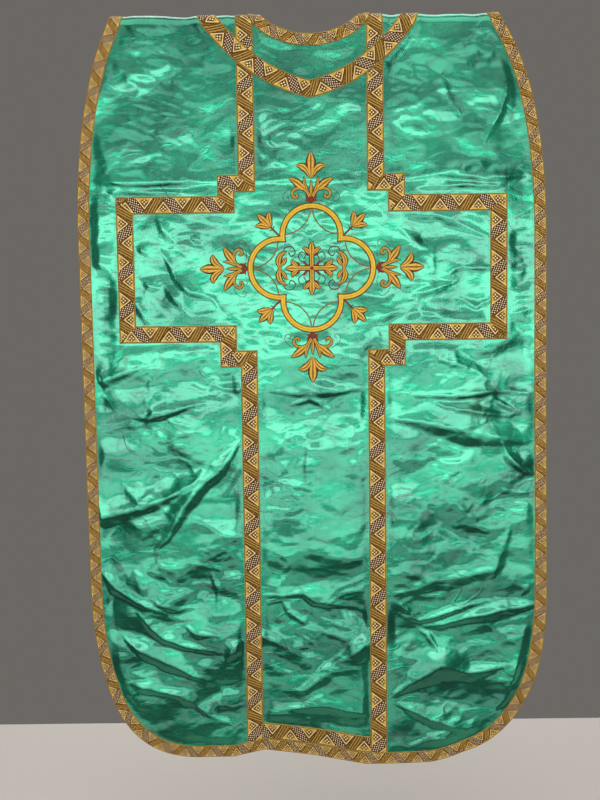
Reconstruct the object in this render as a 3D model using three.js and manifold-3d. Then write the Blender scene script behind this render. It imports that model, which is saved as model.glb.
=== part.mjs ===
// A fiddleback chasuble: a stiff, interlined silk vestment that hangs over a round rail by its
// shoulder fold. The back panel, with its cross of wide galloon and its embroidery, faces -Y.
// The narrower front panel hangs behind the rail and turns about the shoulder seam.
//
// Frame, in millimetres: +X to the right as the back panel is seen, +Z up, origin midway between
// the shoulders on the underside of the fold, where the cloth rests on the rail.
//
// Every piece is a sheet: a profile of its thickness, bent over the rail in the YZ plane, cut by
// outlines drawn in the XZ plane, one for the back panel and one for the front.

import * as THREE from "three";
import { mergeVertices } from "three/addons/utils/BufferGeometryUtils.js";
import Module from "manifold-3d";

const wasm = await Module();
wasm.setup();

// The fold over the rail.
const FOLD_RADIUS = 13;
const FOLD_FACETS = 8;
const SEAM_DROP = 45;

// The outlines. Halves are measured from the middle line, drops from the top of the rail.
const SHOULDER_HALF = 285;
const BACK_HALF = 350;
const BACK_LENGTH = 1130;
const BACK_SHOULDER_DROP = 330;
const BACK_CORNER_DROP = 850;
const CHEST_HALF = 200;
const CHEST_DROP = 330;
const FRONT_HALF = 302;
const FRONT_LENGTH = 1010;
const FRONT_CORNER_DROP = 830;
const NECK_HALF = 74;
const BACK_NECK_DROP = 27;
const FRONT_NECK_DROP = 190;

// The galloon, the woven braid that covers the seams and edges.
const WIDE_GALLOON = 26;
const NARROW_GALLOON = 18;
const COLUMN_HALF = 109;
const STEP_HALF = 140;
const STEP_RISE = 31;
const STEP_FALL = 38;
const ARM_HALF = 292;
const ARM_TOP = 262;
const ARM_BOTTOM = 480;
const COLLAR_HALF = 152;
const BACK_COLLAR_DROP = 107;
const FRONT_COLLAR_DROP = 236;

// The embroidery on the back panel.
const MOTIF_DROP = 370;
const LOBE_OFFSET = 48.5;
const LOBE_RADIUS = 43.5;
const RING_WIDTH = 8.6;
const LACE_OFFSETS = [42, 91];
const LACE_RADIUS = 40.8;
const LACE_WIDTH = 3;
const CENTRE_CROSS_HALF = 34;
const FLEUR_TALL = { base: 97, height: 70, width: 66 };
const FLEUR_SIDE = { base: 97, height: 66, width: 66 };
const BUD = { base: 72, height: 41, width: 27 };

// The layers, outwards from the lining, with GAP between one and the next.
const GAP = 0.3;
const LINING = { inner: 0, outer: 0.6 };
const INTERLINING = layerOver(LINING, 1);
const SATIN = layerOver(INTERLINING, 0.8);
const GALLOON = layerOver(SATIN, 1);
const EMBROIDERY = layerOver(SATIN, 1.2);
const COLLAR = { inner: GALLOON.inner, outer: GALLOON.outer + GAP + 1 };

// How far the cutting prisms and profiles run past the cloth.
const PAST = 20;
const CURVE_STEPS = 10;

function layerOver(below, thickness) {
  const inner = below.outer + GAP;
  return { inner, outer: inner + thickness };
}

// ---------------------------------------------------------------- outlines in the XZ plane

// A half outline from a path drawn from the top at the right down to the middle line.
function drawn(draw) {
  const path = new THREE.Path();
  draw(path);
  return path.getPoints(CURVE_STEPS);
}

const mirrored = (line) => line.map((p) => new THREE.Vector2(-p.x, p.y));

// Both halves as one line, from the top at the right round the bottom to the top at the left.
function bothHalves(line) {
  const other = mirrored(line).reverse();
  return [...line, ...other.slice(other[0].x === 0 ? 1 : 0)];
}

// The line moved sideways by a distance, to the right of the way it runs, with mitred corners.
function moved(line, distance) {
  const normals = line.slice(1).map((p, i) => {
    const along = p.clone().sub(line[i]).normalize();
    return new THREE.Vector2(along.y, -along.x);
  });
  return line.map((p, i) => {
    const before = normals[Math.max(i - 1, 0)];
    const after = normals[Math.min(i, normals.length - 1)];
    const mitre = before.clone().add(after);
    return p.clone().addScaledVector(mitre, distance / (1 + before.dot(after)));
  });
}

// The closed region between two parallels of a line.
const between = (line, from, to) => [...moved(line, from), ...moved(line, to).reverse()];

const backOutline = bothHalves(
  drawn((path) => {
    path.moveTo(SHOULDER_HALF, PAST);
    path.lineTo(SHOULDER_HALF, 0);
    path.bezierCurveTo(334, -80, BACK_HALF, -200, BACK_HALF, -BACK_SHOULDER_DROP);
    path.lineTo(BACK_HALF, -BACK_CORNER_DROP);
    path.bezierCurveTo(BACK_HALF, -1070, 270, -BACK_LENGTH, 180, -BACK_LENGTH);
    path.lineTo(0, -BACK_LENGTH);
  }),
);

const frontOutline = bothHalves(
  drawn((path) => {
    path.moveTo(SHOULDER_HALF, PAST);
    path.lineTo(SHOULDER_HALF, 0);
    path.bezierCurveTo(254, -60, CHEST_HALF, -170, CHEST_HALF, -CHEST_DROP);
    path.bezierCurveTo(CHEST_HALF, -520, FRONT_HALF, -600, FRONT_HALF, -FRONT_CORNER_DROP);
    path.bezierCurveTo(FRONT_HALF, -960, 250, -FRONT_LENGTH, 170, -FRONT_LENGTH);
    path.lineTo(0, -FRONT_LENGTH);
  }),
);

// The neck opening: shallow on the back, a deep U on the front. The fullness is where the curve
// starts to turn, as a part of the neck's half width.
function neckOutline(drop, fullness) {
  return bothHalves(
    drawn((path) => {
      path.moveTo(NECK_HALF, PAST);
      path.lineTo(NECK_HALF, 0);
      path.quadraticCurveTo(fullness * NECK_HALF, -drop, 0, -drop);
    }),
  );
}

const backNeck = neckOutline(BACK_NECK_DROP, 0.55);
const frontNeck = neckOutline(FRONT_NECK_DROP, 1);

// The middle line of the collar band: a blunt V on the back, a U on the front.
function collarLine(drop, turnAcross, turnDrop) {
  return bothHalves(
    drawn((path) => {
      path.moveTo(COLLAR_HALF, PAST);
      path.lineTo(COLLAR_HALF, 0);
      path.quadraticCurveTo(turnAcross, -turnDrop, 0, -drop);
    }),
  );
}

const backCollar = collarLine(BACK_COLLAR_DROP, 88, 88);
const frontCollar = collarLine(FRONT_COLLAR_DROP, COLLAR_HALF, FRONT_COLLAR_DROP);

// The outer edge of the cross, down its right-hand side. The column meets the arms in steps.
const crossSide = drawn((path) => {
  path.moveTo(COLUMN_HALF, PAST);
  path.lineTo(COLUMN_HALF, STEP_RISE - ARM_TOP);
  path.lineTo(STEP_HALF, STEP_RISE - ARM_TOP);
  path.lineTo(STEP_HALF, -ARM_TOP);
  path.lineTo(ARM_HALF, -ARM_TOP);
  path.lineTo(ARM_HALF, -ARM_BOTTOM);
  path.lineTo(STEP_HALF, -ARM_BOTTOM);
  path.lineTo(STEP_HALF, -ARM_BOTTOM - STEP_FALL);
  path.lineTo(COLUMN_HALF, -ARM_BOTTOM - STEP_FALL);
  path.lineTo(COLUMN_HALF, -BACK_LENGTH - PAST);
});

const columnSide = drawn((path) => {
  path.moveTo(COLUMN_HALF, PAST);
  path.lineTo(COLUMN_HALF, -BACK_LENGTH - PAST);
});

// ---------------------------------------------------------------- solids

function solidFrom(geometry) {
  geometry.deleteAttribute("normal");
  geometry.deleteAttribute("uv");
  const merged = mergeVertices(geometry, 1e-4);
  const mesh = new wasm.Mesh({
    numProp: 3,
    vertProperties: new Float32Array(merged.attributes.position.array),
    triVerts: new Uint32Array(merged.index.array),
  });
  return new wasm.Manifold(mesh);
}

// A closed outline in the XZ plane, as a solid from one Y to another.
function prism(outline, yFrom, yTo) {
  const geometry = new THREE.ExtrudeGeometry(new THREE.Shape(outline), {
    depth: yTo - yFrom,
    bevelEnabled: false,
  });
  return solidFrom(geometry.rotateX(Math.PI / 2).translate(0, yTo, 0));
}

// The prisms of the two panels overlap a little at the middle of the rail.
const backPrism = (outline) => prism(outline, -2 * PAST, GAP);
const frontPrism = (outline) => prism(outline, -GAP, 2 * PAST);

// An outline in the YZ plane, as a solid across the whole width.
function across(points) {
  const reach = BACK_HALF + PAST;
  const geometry = new THREE.ExtrudeGeometry(new THREE.Shape(points), {
    depth: 2 * reach,
    bevelEnabled: false,
  });
  const turn = new THREE.Matrix4().makeBasis(
    new THREE.Vector3(0, 1, 0),
    new THREE.Vector3(0, 0, 1),
    new THREE.Vector3(1, 0, 0),
  );
  return solidFrom(geometry.applyMatrix4(turn).translate(-reach, 0, 0));
}

// One face of the back body, from the hem over the rail to the seam, in the YZ plane.
function overTheRail(offset, bottom) {
  const reach = FOLD_RADIUS + offset;
  const corner = reach / Math.cos(Math.PI / (2 * FOLD_FACETS));
  const points = [new THREE.Vector2(-reach, bottom)];
  for (let i = 0; i < FOLD_FACETS; i += 1) {
    const angle = ((i + 0.5) * Math.PI) / FOLD_FACETS;
    const drop = FOLD_RADIUS - corner * Math.sin(angle);
    points.push(new THREE.Vector2(-corner * Math.cos(angle), -drop));
  }
  points.push(new THREE.Vector2(reach, -SEAM_DROP));
  return points;
}

const backSheet = ({ inner, outer }) =>
  across([
    ...overTheRail(outer, -BACK_LENGTH - PAST),
    ...overTheRail(inner, -BACK_LENGTH - PAST).reverse(),
  ]);

function frontSheet({ inner, outer }) {
  const [near, far] = [FOLD_RADIUS + inner, FOLD_RADIUS + outer];
  const [top, bottom] = [-SEAM_DROP - GAP, -FRONT_LENGTH - PAST];
  const corners = [[near, top], [near, bottom], [far, bottom], [far, top]];
  return across(corners.map(([y, z]) => new THREE.Vector2(y, z)));
}

// ---------------------------------------------------------------- regions that cut the sheets

const backWhole = backPrism(backOutline).subtract(backPrism(backNeck));
const frontWhole = frontPrism(frontOutline).subtract(frontPrism(frontNeck));
const wholeRegion = backWhole.add(frontWhole);

// The satin pieces meet under the middle of the galloon.
const seamIn = WIDE_GALLOON / 2;
const closed = (side) => [...side, ...mirrored(side).reverse()];
const insideCross = (inset) =>
  backPrism(closed(moved(crossSide, inset))).add(frontPrism(closed(moved(columnSide, inset))));

// The half of the garment on one side of the middle line.
function half(sign) {
  const reach = sign * (BACK_HALF + PAST);
  const bottom = -BACK_LENGTH - PAST;
  const corners = [[0, PAST], [reach, PAST], [reach, bottom], [0, bottom]];
  return prism(corners.map(([x, z]) => new THREE.Vector2(x, z)), -2 * PAST, 2 * PAST);
}

const edgeRegion = backPrism(between(backOutline, 0, NARROW_GALLOON)).add(
  frontPrism(between(frontOutline, 0, NARROW_GALLOON)),
);
const neckRegion = backPrism(between(backNeck, 0, -NARROW_GALLOON)).add(
  frontPrism(between(frontNeck, 0, -NARROW_GALLOON)),
);
const collarRegion = backPrism(between(backCollar, -seamIn, seamIn)).add(
  frontPrism(between(frontCollar, -seamIn, seamIn)),
);

// Where the neck and edge galloons lie, and GAP round them: the columns stop there.
const stop = NARROW_GALLOON + GAP;
const columnStops = backPrism(moved(backOutline, stop))
  .subtract(backPrism(moved(backNeck, -stop)))
  .add(frontPrism(moved(frontOutline, stop)).subtract(frontPrism(moved(frontNeck, -stop))));

// The galloon down one side of the cross and of the front column, widened by a margin.
function columnRegion(sign, margin) {
  const strips = [crossSide, columnSide].map((side) => {
    const strip = between(side, -margin, WIDE_GALLOON + margin);
    return sign < 0 ? mirrored(strip) : strip;
  });
  return backPrism(strips[0]).add(frontPrism(strips[1]));
}

// The band across the foot of a column, between its two sides.
function footRegion(length, toPrism) {
  const reach = COLUMN_HALF - WIDE_GALLOON - GAP;
  const bottom = NARROW_GALLOON + GAP - length;
  const top = bottom + WIDE_GALLOON;
  const corners = [[-reach, bottom], [reach, bottom], [reach, top], [-reach, top]];
  return toPrism(corners.map(([x, z]) => new THREE.Vector2(x, z)));
}

// ---------------------------------------------------------------- embroidery shapes

// A ring of four round lobes about the middle, as its outer or inner edge.
function quatrefoil(radius) {
  const shape = new THREE.Shape();
  const corner = (LOBE_OFFSET + Math.sqrt(2 * radius ** 2 - LOBE_OFFSET ** 2)) / 2;
  const sweep = Math.atan2(corner, corner - LOBE_OFFSET);
  for (let i = 0; i < 4; i += 1) {
    const facing = (i * Math.PI) / 2;
    const [x, z] = [Math.cos(facing) * LOBE_OFFSET, Math.sin(facing) * LOBE_OFFSET];
    shape.absarc(x, z, radius, facing - sweep, facing + sweep, false);
  }
  return shape.getPoints(CURVE_STEPS);
}

const circle = (x, z, radius) =>
  new THREE.Path().absarc(x, z, radius, 0, 2 * Math.PI).getPoints(3 * CURVE_STEPS).slice(1);

// One petal-edged half of a lily, as parts of its width and height, from the stalk to the tip.
const LILY_HALF = [
  [0.05, 0], [0.08, 0.12], [0.3, 0.1], [0.5, 0.22], [0.46, 0.36], [0.28, 0.34], [0.1, 0.44],
  [0.2, 0.58], [0.33, 0.62], [0.34, 0.74], [0.2, 0.74], [0.12, 0.82], [0, 1],
];
const BUD_HALF = [
  [0.08, 0], [0.14, 0.25], [0.36, 0.5], [0.5, 0.78], [0.3, 0.76], [0.2, 0.82], [0, 1],
];

// The flower on its stalk at the ring, turned to the way it grows.
function flower(halfOutline, { base, height, width }, turn) {
  const side = halfOutline.map(([u, v]) => new THREE.Vector2(u * width, base + v * height));
  const centre = new THREE.Vector2();
  return bothHalves(side).map((p) => p.clone().rotateAround(centre, turn));
}

// A plain cross with a bud at the end of each arm.
function buddedCross() {
  const arm = [
    [3.5, 3.5], [3.5, 0.6 * CENTRE_CROSS_HALF], [9, 0.74 * CENTRE_CROSS_HALF],
    [5, 0.88 * CENTRE_CROSS_HALF], [0, CENTRE_CROSS_HALF],
    [-5, 0.88 * CENTRE_CROSS_HALF], [-9, 0.74 * CENTRE_CROSS_HALF],
    [-3.5, 0.6 * CENTRE_CROSS_HALF],
  ];
  const centre = new THREE.Vector2();
  return [0, 1, 2, 3].flatMap((i) =>
    arm.map(([x, z]) => new THREE.Vector2(x, z).rotateAround(centre, (i * Math.PI) / 2)),
  );
}

// An embroidered outline, drawn about the motif's centre, in its place on the back panel.
const stitched = (outline) =>
  prism(outline, -FOLD_RADIUS - EMBROIDERY.outer, -FOLD_RADIUS - EMBROIDERY.inner).translate([
    0, 0, -MOTIF_DROP,
  ]);

// The ring, with the thin arcs that lace through its lobes and end on it.
function lacedRing() {
  const inside = stitched(quatrefoil(LOBE_RADIUS - RING_WIDTH / 2));
  let ring = stitched(quatrefoil(LOBE_RADIUS + RING_WIDTH / 2)).subtract(inside);
  const [near, far] = LACE_OFFSETS;
  for (const [x, z] of [[near, far], [far, near]]) {
    for (const [right, up] of [[1, 1], [1, -1], [-1, 1], [-1, -1]]) {
      const lace = stitched(circle(right * x, up * z, LACE_RADIUS + LACE_WIDTH / 2)).subtract(
        stitched(circle(right * x, up * z, LACE_RADIUS - LACE_WIDTH / 2)),
      );
      ring = ring.add(lace.intersect(inside));
    }
  }
  return ring;
}

// ---------------------------------------------------------------- the named pieces

const COLOURS = {
  satin: { color: 0x3fa283, roughness: 0.35 },
  lining: { color: 0xc9a24c, roughness: 0.8 },
  canvas: { color: 0xc7bda4, roughness: 0.95 },
  galloon: { color: 0xa4844f, roughness: 0.6 },
  gold: { color: 0xdfa83a, roughness: 0.45 },
};

const chasuble = new THREE.Group();
chasuble.name = "chasuble";

function addPiece(name, look, solid) {
  const { vertProperties, triVerts } = solid.getMesh();
  const geometry = new THREE.BufferGeometry();
  geometry.setAttribute("position", new THREE.BufferAttribute(vertProperties, 3));
  geometry.setIndex(new THREE.BufferAttribute(triVerts, 1));
  geometry.computeVertexNormals();
  const material = new THREE.MeshStandardMaterial({ ...COLOURS[look], metalness: 0 });
  const mesh = new THREE.Mesh(geometry, material);
  mesh.name = name;
  chasuble.add(mesh);
}

// The layers and galloons that each panel has: cloth is its own sheet, of a given layer.
function addPanel(panel, sheet, columnPanel, foot) {
  const cut = (layer, region) => sheet(layer).intersect(region);
  addPiece(`${panel}_lining`, "lining", cut(LINING, wholeRegion));
  addPiece(`${panel}_interlining`, "canvas", cut(INTERLINING, wholeRegion));
  const satin = cut(SATIN, wholeRegion);
  addPiece(columnPanel, "satin", satin.intersect(insideCross(seamIn + GAP / 2)));
  const fields = satin.subtract(insideCross(seamIn - GAP / 2));
  const columns = cut(GALLOON, columnStops);
  const underCollar = sheet({ inner: SATIN.outer, outer: GALLOON.outer + GAP });
  let collar = cut(COLLAR, collarRegion);
  for (const [side, sign] of [["left", -1], ["right", 1]]) {
    addPiece(`${panel}_field_${side}`, "satin", fields.intersect(half(sign)));
    const column = columns.intersect(columnRegion(sign, 0));
    addPiece(`${panel}_column_galloon_${side}`, "galloon", column);
    collar = collar.subtract(underCollar.intersect(columnRegion(sign, GAP)));
  }
  addPiece(`${panel}_foot_galloon`, "galloon", cut(GALLOON, foot));
  addPiece(`${panel}_collar_galloon`, "galloon", collar);
  addPiece(`${panel}_neck_galloon`, "galloon", cut(GALLOON, neckRegion));
  addPiece(`${panel}_edge_galloon`, "galloon", cut(GALLOON, edgeRegion));
}

function addEmbroidery() {
  addPiece("quatrefoil_ring", "gold", lacedRing());
  addPiece("centre_cross", "gold", stitched(buddedCross()));
  const ways = ["top", "left", "bottom", "right"];
  ways.forEach((way, i) => {
    const size = i % 2 ? FLEUR_SIDE : FLEUR_TALL;
    addPiece(`fleur_${way}`, "gold", stitched(flower(LILY_HALF, size, (i * Math.PI) / 2)));
  });
  const corners = ["top_left", "bottom_left", "bottom_right", "top_right"];
  corners.forEach((corner, i) => {
    const turn = ((i + 0.5) * Math.PI) / 2;
    addPiece(`bud_${corner}`, "gold", stitched(flower(BUD_HALF, BUD, turn)));
  });
}

addPanel("back", backSheet, "cross_panel", footRegion(BACK_LENGTH, backPrism));
addPanel("front", frontSheet, "front_column_panel", footRegion(FRONT_LENGTH, frontPrism));
addEmbroidery();

export default chasuble;
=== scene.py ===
import math

import bpy
import numpy as np
from mathutils import Matrix, Vector
from mathutils.geometry import delaunay_2d_cdt


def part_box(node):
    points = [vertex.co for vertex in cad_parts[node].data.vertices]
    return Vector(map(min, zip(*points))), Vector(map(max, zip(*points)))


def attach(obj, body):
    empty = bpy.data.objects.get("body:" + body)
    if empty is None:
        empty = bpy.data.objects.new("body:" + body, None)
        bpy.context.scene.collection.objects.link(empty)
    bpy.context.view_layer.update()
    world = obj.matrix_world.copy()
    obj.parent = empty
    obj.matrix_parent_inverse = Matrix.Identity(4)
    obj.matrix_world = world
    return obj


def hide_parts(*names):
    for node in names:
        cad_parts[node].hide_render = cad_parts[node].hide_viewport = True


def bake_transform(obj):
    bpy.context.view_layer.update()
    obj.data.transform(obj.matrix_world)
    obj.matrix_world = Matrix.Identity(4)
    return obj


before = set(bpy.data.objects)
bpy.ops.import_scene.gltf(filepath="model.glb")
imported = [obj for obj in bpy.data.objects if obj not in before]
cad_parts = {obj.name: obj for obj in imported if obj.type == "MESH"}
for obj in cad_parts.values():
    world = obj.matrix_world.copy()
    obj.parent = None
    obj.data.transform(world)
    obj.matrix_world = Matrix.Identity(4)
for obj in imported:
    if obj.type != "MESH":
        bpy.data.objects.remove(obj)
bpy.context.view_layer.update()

# Lengths are in millimetres until a mesh is made. The garment is drawn flat, as if unfolded:
# x runs across it, and "run" along it, 0 on top of the rail, below 0 down the back panel and
# above 0 down the front one. fold() bends that flat pattern over the rail.
MM = 0.001


def corner(node, which):
    """The lowest (0) or highest (1) corner of a CAD node, in millimetres."""
    return np.array(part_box(node)[which]) / MM


# ---- sizes, from the CAD frame

BACK_HALF = corner("back_edge_galloon", 1)[0]
BACK_LENGTH = -corner("back_edge_galloon", 0)[2]
FRONT_HALF = corner("front_edge_galloon", 1)[0]
FRONT_LENGTH = -corner("front_edge_galloon", 0)[2]
COLUMN_HALF = corner("front_column_galloon_right", 1)[0]
WIDE = COLUMN_HALF - corner("front_column_galloon_right", 0)[0]
ARM_HALF = corner("back_column_galloon_right", 1)[0]
COLLAR_HALF = corner("back_collar_galloon", 1)[0] - WIDE / 2
FOOT_TOP = -corner("back_foot_galloon", 1)[2]
NARROW = BACK_LENGTH - FOOT_TOP - WIDE
NECK_HALF = corner("back_neck_galloon", 1)[0] - NARROW
BACK_NECK = -corner("back_neck_galloon", 0)[2] - NARROW
FRONT_NECK = -corner("front_neck_galloon", 0)[2] - NARROW
FRONT_COLLAR = -corner("front_collar_galloon", 0)[2] - WIDE / 2
MOTIF = (corner("centre_cross", 0)[2] + corner("centre_cross", 1)[2]) / 2
LINING_THICKNESS = 0.6
FOLD_RADIUS = -corner("back_lining", 0)[1] - LINING_THICKNESS

# The outlines' other driving sizes: drops from the top of the rail, halves from the middle.
SHOULDER_HALF = 285
SHOULDER_DROP = 330
CORNER_DROP = 850
CHEST_HALF = 200
CHEST_DROP = 330
FRONT_CORNER_DROP = 830
STEP_HALF = 140
STEP_TOP = 231
ARM_TOP = 262
ARM_BOTTOM = 480
STEP_BOTTOM = 518
COLLAR_DROP = 107

# Each layer's lower and upper height above the lining's inner face.
LINING = (0.0, LINING_THICKNESS)
CANVAS = (0.9, 1.9)
SATIN = (2.3, 3.0)
GALLOON_BASE = 2.9
GALLOON_THICKNESS = 1.0
CROSSING_RISE = 1.1
STITCH_BASE = 2.85

# Half the length of the flat pattern that lies on the rail, measured in the canvas.
CANVAS_LIFT = 2
HALF_FOLD = math.pi * (FOLD_RADIUS + CANVAS_LIFT) / 2
# The back's pieces end and the front's begin this far past the top of the rail.
SPLIT = 4.0
BACK, FRONT = -1, 1


# ---- lines on the flat pattern


def chain(start, *pieces, steps=28):
    """A line from start through Bezier pieces, each given by the corners after its first."""
    points = [np.array(start, float)]
    for piece in pieces:
        corners = [points[-1], *[np.array(p, float) for p in piece]]
        degree = len(corners) - 1
        for t in np.linspace(0, 1, (1 if degree == 1 else steps) + 1)[1:]:
            weights = [math.comb(degree, i) * t**i * (1 - t) ** (degree - i) for i in range(degree + 1)]
            points.append(sum(w * c for w, c in zip(weights, corners)))
    return np.array(points)


def run_of(drop, side):
    """The place along the flat pattern of a drop below the top of the rail."""
    drop = np.asarray(drop, float)
    on_fold = np.arcsin(np.clip(1 - drop / FOLD_RADIUS, 0, 1)) * 2 / math.pi
    return side * np.where(drop < FOLD_RADIUS, HALF_FOLD * (1 - on_fold), HALF_FOLD + drop - FOLD_RADIUS)


def flat(line, side):
    """A line drawn as (x, drop) on one panel, as (x, run)."""
    return np.column_stack([line[:, 0], run_of(line[:, 1], side)])


def mirrored(line):
    return line * [-1, 1]


def looped(line):
    """A closed line from its right-hand half, which starts and ends on the middle line."""
    return np.vstack([line, mirrored(line)[::-1][1:-1]])


def joined(back, front):
    """A right-hand half from the back's middle up over the rail and down to the front's middle."""
    return looped(np.vstack([flat(back, BACK), flat(front, FRONT)[1:]]))


def mitres(line, closed):
    """For each point, the step to its right whose parallels keep their distance."""
    ahead = np.roll(line, -1, 0) - line
    if not closed:
        ahead[-1] = ahead[-2]
    ahead /= np.linalg.norm(ahead, axis=1)[:, None]
    behind = np.roll(ahead, 1, 0)
    if not closed:
        behind[0] = ahead[0]
    right = lambda d: np.column_stack([d[:, 1], -d[:, 0]])
    after, before = right(ahead), right(behind)
    return (before + after) / (1 + (before * after).sum(1))[:, None]


def moved(line, distance, closed=True):
    return line + mitres(line, closed) * distance


outline = joined(
    chain(
        (0, BACK_LENGTH), [(180, BACK_LENGTH)],
        [(270, BACK_LENGTH), (BACK_HALF, 1070), (BACK_HALF, CORNER_DROP)],
        [(BACK_HALF, SHOULDER_DROP)], [(BACK_HALF, 200), (334, 80), (SHOULDER_HALF, 0)],
    ),
    chain(
        (SHOULDER_HALF, 0), [(254, 60), (CHEST_HALF, 170), (CHEST_HALF, CHEST_DROP)],
        [(CHEST_HALF, 520), (FRONT_HALF, 600), (FRONT_HALF, FRONT_CORNER_DROP)],
        [(FRONT_HALF, 960), (250, FRONT_LENGTH), (170, FRONT_LENGTH)], [(0, FRONT_LENGTH)],
    ),
)
neck = joined(
    chain((0, BACK_NECK), [(0.55 * NECK_HALF, BACK_NECK), (NECK_HALF, 0)]),
    chain((NECK_HALF, 0), [(NECK_HALF, FRONT_NECK), (0, FRONT_NECK)]),
)
collar = joined(
    chain((0, COLLAR_DROP), [(88, 88), (COLLAR_HALF, 0)]),
    chain((COLLAR_HALF, 0), [(COLLAR_HALF, FRONT_COLLAR), (0, FRONT_COLLAR)]),
)


def column_side(inset, foot):
    """The right-hand edge of the cross from the back's foot over the rail to the front's, moved in."""
    back = np.array([
        (COLUMN_HALF, BACK_LENGTH - foot), (COLUMN_HALF, STEP_BOTTOM), (STEP_HALF, STEP_BOTTOM),
        (STEP_HALF, ARM_BOTTOM), (ARM_HALF, ARM_BOTTOM), (ARM_HALF, ARM_TOP),
        (STEP_HALF, ARM_TOP), (STEP_HALF, STEP_TOP), (COLUMN_HALF, STEP_TOP), (COLUMN_HALF, 0),
    ], float)
    front = np.array([(COLUMN_HALF, FRONT_LENGTH - foot)])
    return moved(np.vstack([flat(back, BACK), flat(front, FRONT)]), -inset, closed=False)


def foot_line(length, side):
    """The middle line of the band across a column's foot."""
    reach = COLUMN_HALF - WIDE
    middle = length - NARROW - WIDE / 2
    return flat(np.array([(-reach, middle), (reach, middle)]), side)


# ---- relief of the cloth


def smooth(low, high, value):
    t = np.clip((value - low) / (high - low), 0, 1)
    return t * t * (3 - 2 * t)


class Lattice:
    """A random number for each place of a lattice, the same on every run."""

    def __init__(self, seed, low, high):
        table = np.random.RandomState(seed)
        self.order = table.permutation(256)
        self.numbers = table.uniform(low, high, 256)


class Noise(Lattice):
    """Gradient noise over the plane, from about -1 to 1."""

    def __init__(self, seed):
        super().__init__(seed, 0, 2 * math.pi)
        self.slopes = np.column_stack([np.cos(self.numbers), np.sin(self.numbers)])

    def __call__(self, x, y):
        x0, y0 = np.floor(x).astype(int), np.floor(y).astype(int)
        fx, fy = x - x0, y - y0
        u, v = fx**3 * (fx * (6 * fx - 15) + 10), fy**3 * (fy * (6 * fy - 15) + 10)

        def at(i, j):
            slope = self.slopes[self.order[(self.order[(x0 + i) % 256] + y0 + j) % 256]]
            return slope[:, 0] * (fx - i) + slope[:, 1] * (fy - j)

        low = at(0, 0) * (1 - u) + at(1, 0) * u
        high = at(0, 1) * (1 - u) + at(1, 1) * u
        return 1.5 * (low * (1 - v) + high * v)


noises = [Noise(seed) for seed in range(40, 50)]


class Facets(Lattice):
    """Heights from -1 to 1 on a lattice, joined by flat facets that meet in sharp creases."""

    def __init__(self, seed):
        super().__init__(seed, -1, 1)

    def __call__(self, x, y):
        x0, y0 = np.floor(x).astype(int), np.floor(y).astype(int)
        turned = (x0 + y0) % 2
        fx, fy = x - x0, y - y0
        fx = np.where(turned, 1 - fx, fx)

        def at(i, j):
            column = x0 + np.where(turned, 1 - i, i)
            return self.numbers[(self.order[column % 256] + y0 + j) % 256]

        low, corner_x, corner_y, high = at(0, 0), at(1, 0), at(0, 1), at(1, 1)
        right = low + fx * (corner_x - low) + fy * (high - corner_x)
        left = low + fy * (corner_y - low) + fx * (high - corner_y)
        return np.where(fx >= fy, right, left)


facets = [Facets(seed) for seed in range(60, 63)]


def near_line(x, z, line):
    """For each point, the signed distance to a line (above it positive), and how far along it."""
    best = np.full(len(x), 1e9)
    sign, along = np.zeros(len(x)), np.zeros(len(x))
    lengths = np.linalg.norm(np.diff(line, axis=0), axis=1)
    before = np.concatenate([[0], np.cumsum(lengths)]) / lengths.sum()
    for i, (a, b) in enumerate(zip(line[:-1], line[1:])):
        d = (b - a) / lengths[i]
        t = np.clip((x - a[0]) * d[0] + (z - a[1]) * d[1], 0, lengths[i])
        dx, dz = x - a[0] - t * d[0], z - a[1] - t * d[1]
        distance = np.hypot(dx, dz)
        closer = distance < best
        best = np.where(closer, distance, best)
        sign = np.where(closer, np.sign(d[0] * dz - d[1] * dx), sign)
        along = np.where(closer, before[i] + t / lengths.sum(), along)
    return best * sign, along


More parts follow.
